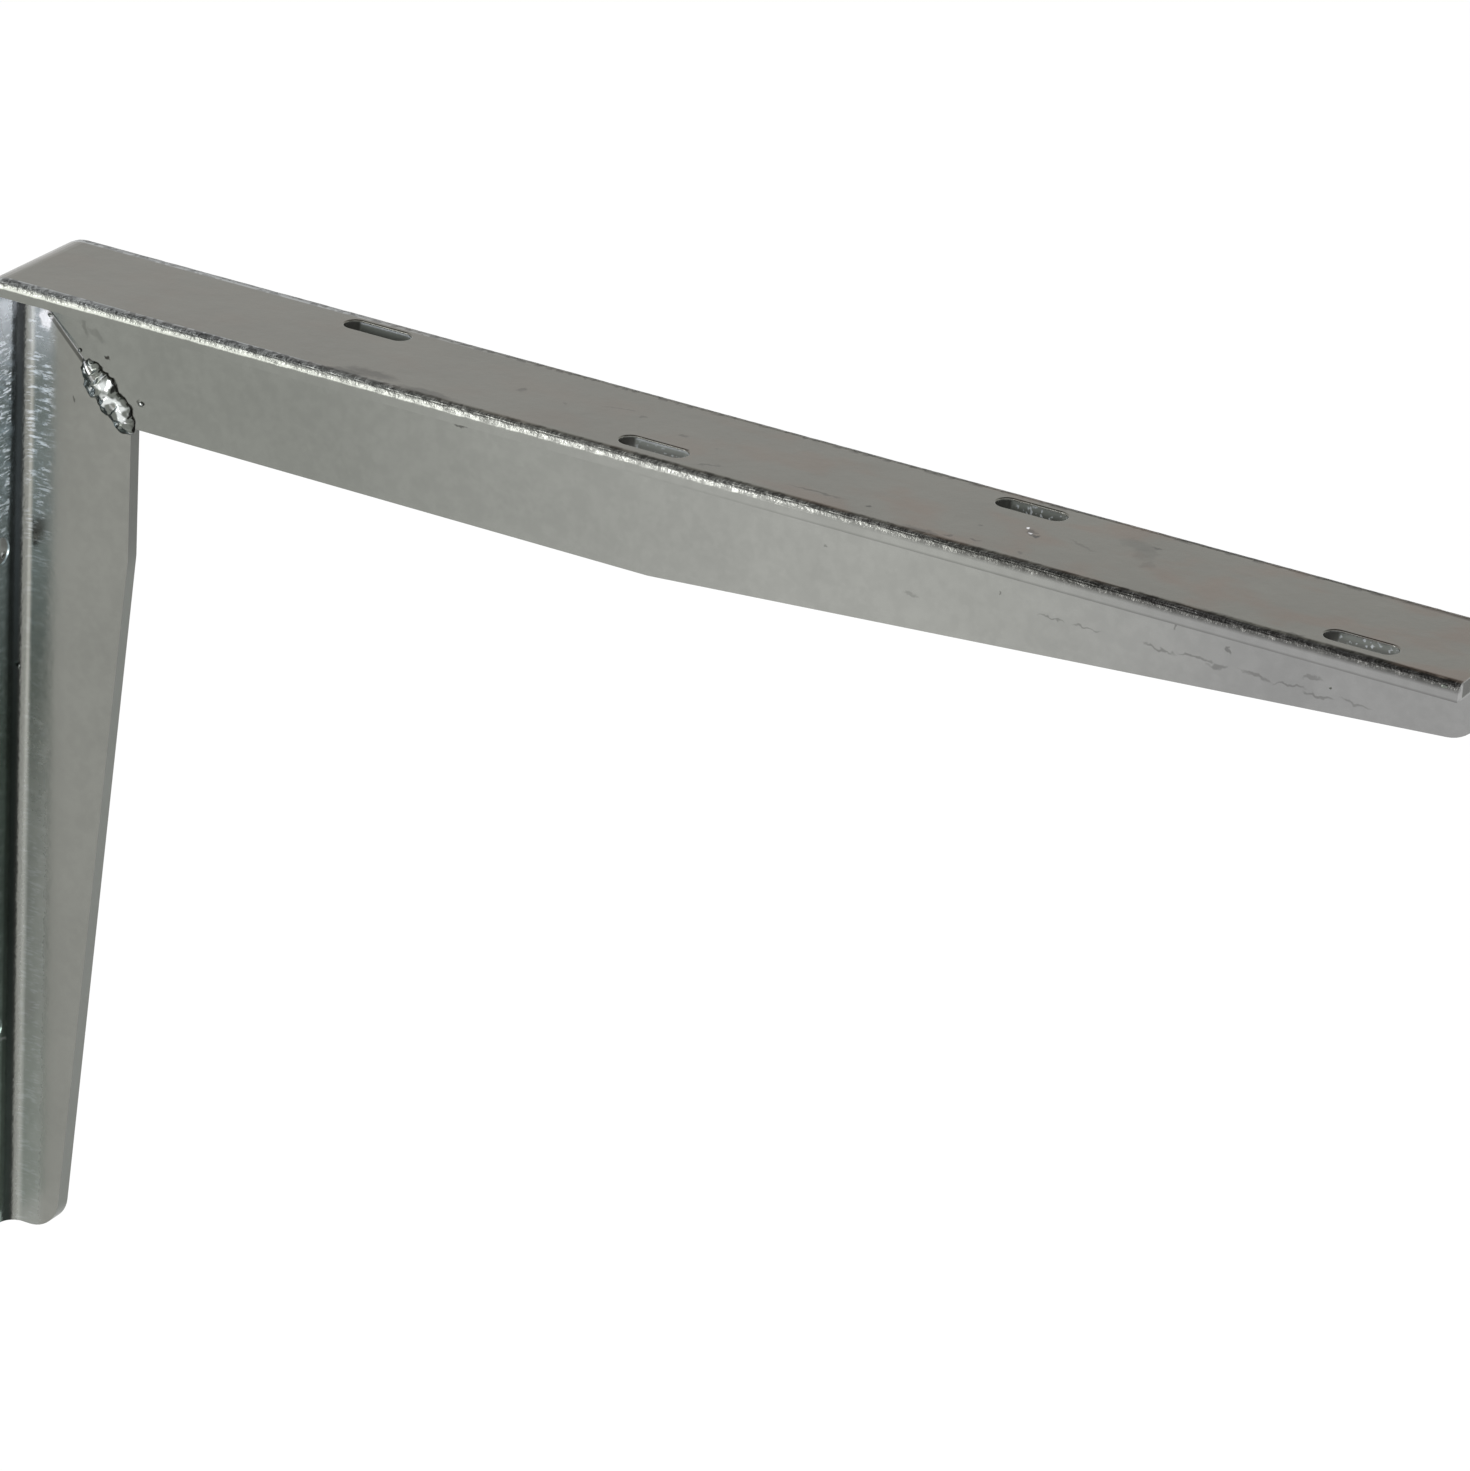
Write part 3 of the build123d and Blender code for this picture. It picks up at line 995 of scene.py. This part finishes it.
    def rounding(self, point: Vector, depth: float) -> Vector:
        """Give the move that takes a point near the flange's outer edge onto that edge's round.

        Args:
            point: A point of the bar.
            depth: Its depth under the flange's outer face.

        Returns:
            The move, zero away from the edge.
        """
        radius = self.near_round if point.y < 0 else self.far_round
        aside = abs(point.y) - (self.sizes.half_width - radius)
        above = radius - depth
        if aside <= 0 or above <= 0 or math.hypot(aside, above) <= radius:
            return Vector((0, 0, 0))
        share = radius / math.hypot(aside, above)
        inward = Vector((0, -math.copysign(aside * (1 - share), point.y), 0))
        return inward - self.sizes.outward(point) * (above * (1 - share))


class WebSide(Enum):
    """The two faces of the web, by the sign of Y."""

    NEAR = -1
    FAR = 1


@dataclass
class WeldBead:
    """Weld bead over the inner end of the mitre, in overlapping puddles."""

    sizes: BarSizes
    side: WebSide
    start: float = 26.8 * MM
    puddles: int = 6
    length: float = 19.6 * MM
    half_width: float = 4.9 * MM
    height: float = 2.4 * MM
    aside: float = -0.2 * MM
    zigzag: float = 0.6 * MM
    puddle_length: float = 4.6 * MM
    sink: float = 0.3 * MM
    crease_size: float = 3.2 * MM
    crease_height: float = 0.9 * MM
    voxel: float = 0.18 * MM

    def build(self, material: bpy.types.Material) -> bpy.types.Object:
        """Make the bead's piece.

        Args:
            material: Its finish.

        Returns:
            The bead's object.
        """
        dice = random.Random(11 + self.side.value)
        mesh = bmesh.new()
        run = Vector((1, 0, -1)).normalized()
        cross = Vector((1, 0, 1)).normalized()
        out = Vector((0, self.side.value, 0))
        turn = Matrix((run, cross, out)).transposed().to_4x4()
        first = Vector((self.start, 0, self.sizes.top - self.start))
        for i in range(self.puddles):
            share = (i + 0.5) / self.puddles
            taper = math.sqrt(1 - 0.8 * abs(2 * share - 1) ** 3)
            shift = self.aside + (-1) ** i * self.zigzag * taper + dice.uniform(-0.3, 0.3) * MM
            centre = first + run * (share * self.length) + cross * shift
            centre.y = self.side.value * (self.sizes.web_face(self.sizes.top - centre.z) - self.sink)
            width = self.half_width * taper * dice.uniform(0.9, 1.12)
            scale = Vector((self.puddle_length, width, self.height * taper))
            place = Matrix.Translation(centre) @ turn @ Matrix.Rotation(dice.uniform(-0.5, 0.5), 4, "Z")
            place @= Matrix.Rotation(dice.uniform(-0.35, 0.1), 4, "Y") @ Matrix.Diagonal((*scale, 1))
            bmesh.ops.create_icosphere(mesh, subdivisions=3, radius=1, matrix=place)
        return self.melt(mesh, material)

    def melt(self, mesh: bmesh.types.BMesh, material: bpy.types.Material) -> bpy.types.Object:
        """Melt the puddles into one skin and crumple it a little.

        Args:
            mesh: The separate puddles.
            material: The bead's finish.

        Returns:
            The bead's object.
        """
        rough = new_object("puddles", new_mesh(mesh, "puddles"))
        remesh = rough.modifiers.new("melt", "REMESH")
        remesh.mode = "VOXEL"
        remesh.voxel_size = self.voxel
        state = bpy.context.evaluated_depsgraph_get()
        melted = bpy.data.meshes.new_from_object(rough.evaluated_get(state))
        bpy.data.objects.remove(rough)
        skin = bmesh.new()
        skin.from_mesh(melted)
        bmesh.ops.smooth_vert(
            skin, verts=skin.verts, factor=0.5, use_axis_x=True, use_axis_y=True, use_axis_z=True
        )
        skin.normal_update()
        for vertex in skin.verts:
            crease = abs(noise.noise(vertex.co / self.crease_size))
            crease += 0.03 * noise.noise(vertex.co / (0.9 * MM))
            vertex.co += vertex.normal * (self.crease_height * (0.25 - crease))
        return finish_piece(skin, f"weld_bead_{self.side.name.lower()}", material)


@dataclass(frozen=True)
class Drop:
    """A small lump of zinc: place from corner, centre plane and top, and half sizes, in millimetres."""

    wall: float
    across: float
    down: float
    size: tuple[float, float, float]


DROPS = (
    Drop(44.9, -2.5, 33.5, (0.8, 0.5, 0.7)),
    Drop(40.3, -2.3, 41.8, (1.0, 0.8, 0.9)),
    Drop(24.2, -2.6, 22.6, (0.6, 0.35, 0.6)),
    Drop(14.2, -2.8, 14.6, (0.8, 0.35, 0.5)),
    Drop(408.0, -2.3, 18.8, (0.6, 0.35, 0.5)),
    Drop(446.0, -19.6, 1.9, (1.1, 0.5, 0.8)),
    Drop(447.2, -19.5, 3.6, (1.2, 0.6, 0.9)),
    Drop(443.6, -19.7, 3.0, (0.8, 0.4, 0.6)),
    Drop(5.3, -10.6, 86.4, (0.45, 1.1, 1.1)),
    Drop(7.4, -5.0, 122.0, (0.5, 0.5, 0.8)),
)


@dataclass
class ZincDrops:
    """Loose lumps that the zinc left where it ran off, and weld spatter under the coat."""

    sizes: BarSizes

    def build(self, material: bpy.types.Material) -> bpy.types.Object:
        """Make all the lumps as one piece.

        Args:
            material: Their finish.

        Returns:
            The piece's object.
        """
        mesh = bmesh.new()
        for drop in DROPS:
            centre = Vector((drop.wall * MM, drop.across * MM, self.sizes.top - drop.down * MM))
            place = Matrix.Translation(centre) @ Matrix.Diagonal((*(Vector(drop.size) * MM), 1))
            bmesh.ops.create_icosphere(mesh, subdivisions=3, radius=1, matrix=place)
        mesh.normal_update()
        for vertex in mesh.verts:
            vertex.co += vertex.normal * (noise.noise(vertex.co / (0.8 * MM)) * 0.16 * MM)
        return finish_piece(mesh, "zinc_drops", material)


@dataclass(frozen=True)
class PhotoCamera:
    """The camera as fitted to the bar's edges: its angles, distance and where the outer corner shows."""

    azimuth: float = math.radians(28.905)
    elevation: float = math.radians(24.538)
    roll: float = math.radians(3.546)
    frame_width: float = 1470.0
    frame_height: float = 1471.0
    focal: float = 7167.25
    corner_column: float = 15.11
    corner_row: float = 251.65
    distance: float = 1.98113
    sensor: float = 36.0

    def build(self, sizes: BarSizes) -> bpy.types.Object:
        """Make the camera and give it to the scene.

        Args:
            sizes: Sizes of the bar, whose outer top corner places the camera.

        Returns:
            The camera's object.
        """
        sin_a, cos_a = math.sin(self.azimuth), math.cos(self.azimuth)
        sin_e, cos_e = math.sin(self.elevation), math.cos(self.elevation)
        back = Vector((sin_a * cos_e, -cos_a * cos_e, sin_e))
        level = Vector((cos_a, sin_a, 0))
        upright = back.cross(level)
        right = level * math.cos(self.roll) + upright * math.sin(self.roll)
        up = upright * math.cos(self.roll) - level * math.sin(self.roll)
        aside = (self.corner_column - self.frame_width / 2) * self.distance / self.focal
        above = (self.frame_height / 2 - self.corner_row) * self.distance / self.focal
        corner = Vector((0, 0, sizes.top))
        place = corner + back * self.distance - right * aside - up * above
        data = bpy.data.cameras.new("photo_camera")
        data.sensor_width = self.sensor
        data.lens = self.focal * self.sensor / self.frame_width
        data.clip_start = 0.05
        data.clip_end = 50
        camera = new_object("photo_camera", data)
        turn = Matrix((right, up, back)).transposed().to_4x4()
        camera.matrix_world = Matrix.Translation(place) @ turn
        bpy.context.scene.camera = camera
        return camera


@dataclass(frozen=True)
class Lamp:
    """A soft square lamp: the direction it stands in, its distance, its side and its brightness."""

    name: str
    direction: tuple[float, float, float]
    distance: float
    side: float
    brightness: float
    in_gloss: bool = True

    def build(self, target: Vector) -> bpy.types.Object:
        """Make the lamp, facing the target.

        Args:
            target: The point that it faces.

        Returns:
            The lamp's object.
        """
        data = bpy.data.lights.new(self.name, "AREA")
        data.shape = "SQUARE"
        data.size = self.side
        data.energy = self.brightness * self.side**2 * math.pi
        lamp = new_object(self.name, data)
        way = Vector(self.direction).normalized()
        lamp.location = target + way * self.distance
        lamp.rotation_mode = "QUATERNION"
        lamp.rotation_quaternion = way.to_track_quat("Z", "Y")
        lamp.visible_camera = False
        lamp.visible_glossy = self.in_gloss
        return lamp


LAMPS = (
    Lamp("overhead_lamp", (0.1, -0.35, 1.0), 2.4, 2.0, 2.3, in_gloss=False),
    Lamp("low_front_lamp", (0.08, -0.92, -0.38), 0.9, 0.32, 2.4, in_gloss=False),
    Lamp("left_front_lamp", (-0.515, -0.857, 0.02), 1.5, 0.34, 5.5, in_gloss=False),
    Lamp("right_front_lamp", (0.85, -0.52, -0.05), 1.6, 0.5, 25.0, in_gloss=False),
)


@dataclass(frozen=True)
class Patch:
    """A darker or brighter part of the surround, seen in the metal alone: direction, two radii and level."""

    way: tuple[float, float, float]
    inner: float
    outer: float
    level: float


PATCHES = (
    Patch((0.086, -0.021, 0.996), math.radians(27), math.radians(60), 0.14),
    Patch((0.92, -0.10, -0.38), math.radians(32), math.radians(41), 0.12),
    Patch((-0.622, -0.783, 0.019), math.radians(9), math.radians(11.6), 3.6),
    Patch((-0.640, -0.710, 0.294), math.radians(9.4), math.radians(12), 3.4),
    Patch((0.064, -0.914, -0.40), math.radians(7), math.radians(15), 1.65),
)


@dataclass(frozen=True)
class Studio:
    """A pale floor below the bracket, an even white surround and soft lamps."""

    sizes: BarSizes
    floor_drop: float = 0.42
    floor_half: float = 9.0
    floor_glow: float = 1.05
    fill: float = 0.62

    def build(self) -> None:
        """Make the floor, the world and the lamps."""
        surround = self.build_surround()
        self.build_floor(surround)
        self.build_world(surround)
        target = Vector((self.sizes.reach / 4, 0, self.sizes.top / 2))
        for lamp in LAMPS:
            lamp.build(target)
            log.info("lamp %s", lamp.name)

    def build_surround(self) -> Tree:
        """Build the group that gives the surround's level in a direction, as the metal mirrors it."""
        graph, given = new_group("studio_surround", {"Direction": "Vector"})
        level: Value = 1.0
        for patch in PATCHES:
            facing = graph.add("ShaderNodeVectorMath", operation="DOT_PRODUCT")
            graph.feed(facing.inputs[0], given["Direction"])
            facing.inputs[1].default_value = Vector(patch.way).normalized()
            cosines = (math.cos(patch.outer), math.cos(patch.inner))
            level = graph.product(level, graph.step(facing.outputs["Value"], *cosines, 1.0, patch.level))
        return close_group(graph, Level=level)

    def build_floor(self, surround: Tree) -> bpy.types.Object:
        """Make the floor: white in view with a soft shadow, the surround in the metal, nothing from below.

        Args:
            surround: The group with the surround's level.

        Returns:
            The floor's object.
        """
        mesh = bmesh.new()
        place = Matrix.Translation((0, 0, self.sizes.foot - self.floor_drop))
        bmesh.ops.create_grid(mesh, x_segments=1, y_segments=1, size=self.floor_half, matrix=place)
        data = new_mesh(mesh, "floor")
        material = bpy.data.materials.new("pale_floor")
        graph = clear_graph(material)
        rays = graph.add("ShaderNodeLightPath")
        geometry = graph.add("ShaderNodeNewGeometry")
        onward = graph.add("ShaderNodeVectorMath", operation="SCALE")
        graph.feed(onward.inputs[0], geometry.outputs["Incoming"])
        onward.inputs["Scale"].default_value = -1.0
        level = graph.group(surround, Direction=onward.outputs[0])["Level"]
        glossy = graph.add("ShaderNodeMix", data_type="FLOAT")
        graph.feed(glossy.inputs[0], rays.outputs["Is Glossy Ray"])
        glossy.inputs[2].default_value = self.floor_glow
        graph.feed(glossy.inputs[3], level)
        paint = graph.add("ShaderNodeBsdfDiffuse")
        paint.inputs["Color"].default_value = (0.9, 0.9, 0.9, 1)
        glow = graph.add("ShaderNodeEmission")
        graph.feed(glow.inputs["Strength"], glossy.outputs[0])
        seen = graph.most(rays.outputs["Is Camera Ray"], rays.outputs["Is Transmission Ray"])
        share = graph.most(graph.product(seen, 0.9), rays.outputs["Is Glossy Ray"])
        lit = graph.add("ShaderNodeMixShader")
        graph.feed(lit.inputs[0], share)
        graph.feed(lit.inputs[1], paint.outputs[0])
        graph.feed(lit.inputs[2], glow.outputs[0])
        clear = graph.add("ShaderNodeBsdfTransparent")
        mixed = graph.add("ShaderNodeMixShader")
        graph.feed(mixed.inputs[0], geometry.outputs["Backfacing"])
        graph.feed(mixed.inputs[1], lit.outputs[0])
        graph.feed(mixed.inputs[2], clear.outputs[0])
        graph.show(mixed.outputs[0])
        data.materials.append(material)
        floor = new_object("floor", data)
        return floor

    def build_world(self, surround: Tree) -> None:
        """Make the world: white in view, the surround in the metal and a softer fill elsewhere.

        Args:
            surround: The group with the surround's level.
        """
        world = bpy.data.worlds.new("studio")
        graph = clear_graph(world)
        rays = graph.add("ShaderNodeLightPath")
        direction = graph.add("ShaderNodeTexCoord").outputs["Generated"]
        level = graph.group(surround, Direction=direction)["Level"]
        glossy = graph.product(rays.outputs["Is Glossy Ray"], graph.math("SUBTRACT", level, self.fill))
        seen = graph.most(rays.outputs["Is Camera Ray"], rays.outputs["Is Transmission Ray"])
        strength = graph.total((self.fill, graph.product(seen, 0.4), glossy))
        sky = graph.add("ShaderNodeBackground")
        sky.inputs["Color"].default_value = (1, 1, 1, 1)
        graph.feed(sky.inputs["Strength"], strength)
        graph.show(sky.outputs[0], "World")
        bpy.context.scene.world = world


def main() -> None:
    """Build the camera, the finishes, the pieces and the studio in order."""
    logging.basicConfig(level=logging.INFO, format="%(message)s")
    bpy.context.scene.view_settings.view_transform = "Standard"
    sizes = BarSizes.from_frame()
    PhotoCamera().build(sizes)
    groups = ZincGroups(sizes)
    bar_zinc = BarFinish().build(groups)
    bright_zinc = DropFinish().build(groups)
    Bar(sizes).build(bar_zinc)
    for side in WebSide:
        WeldBead(sizes, side).build(bright_zinc)
    ZincDrops(sizes).build(bright_zinc)
    Studio(sizes).build()


if __name__ == "__main__":
    main()
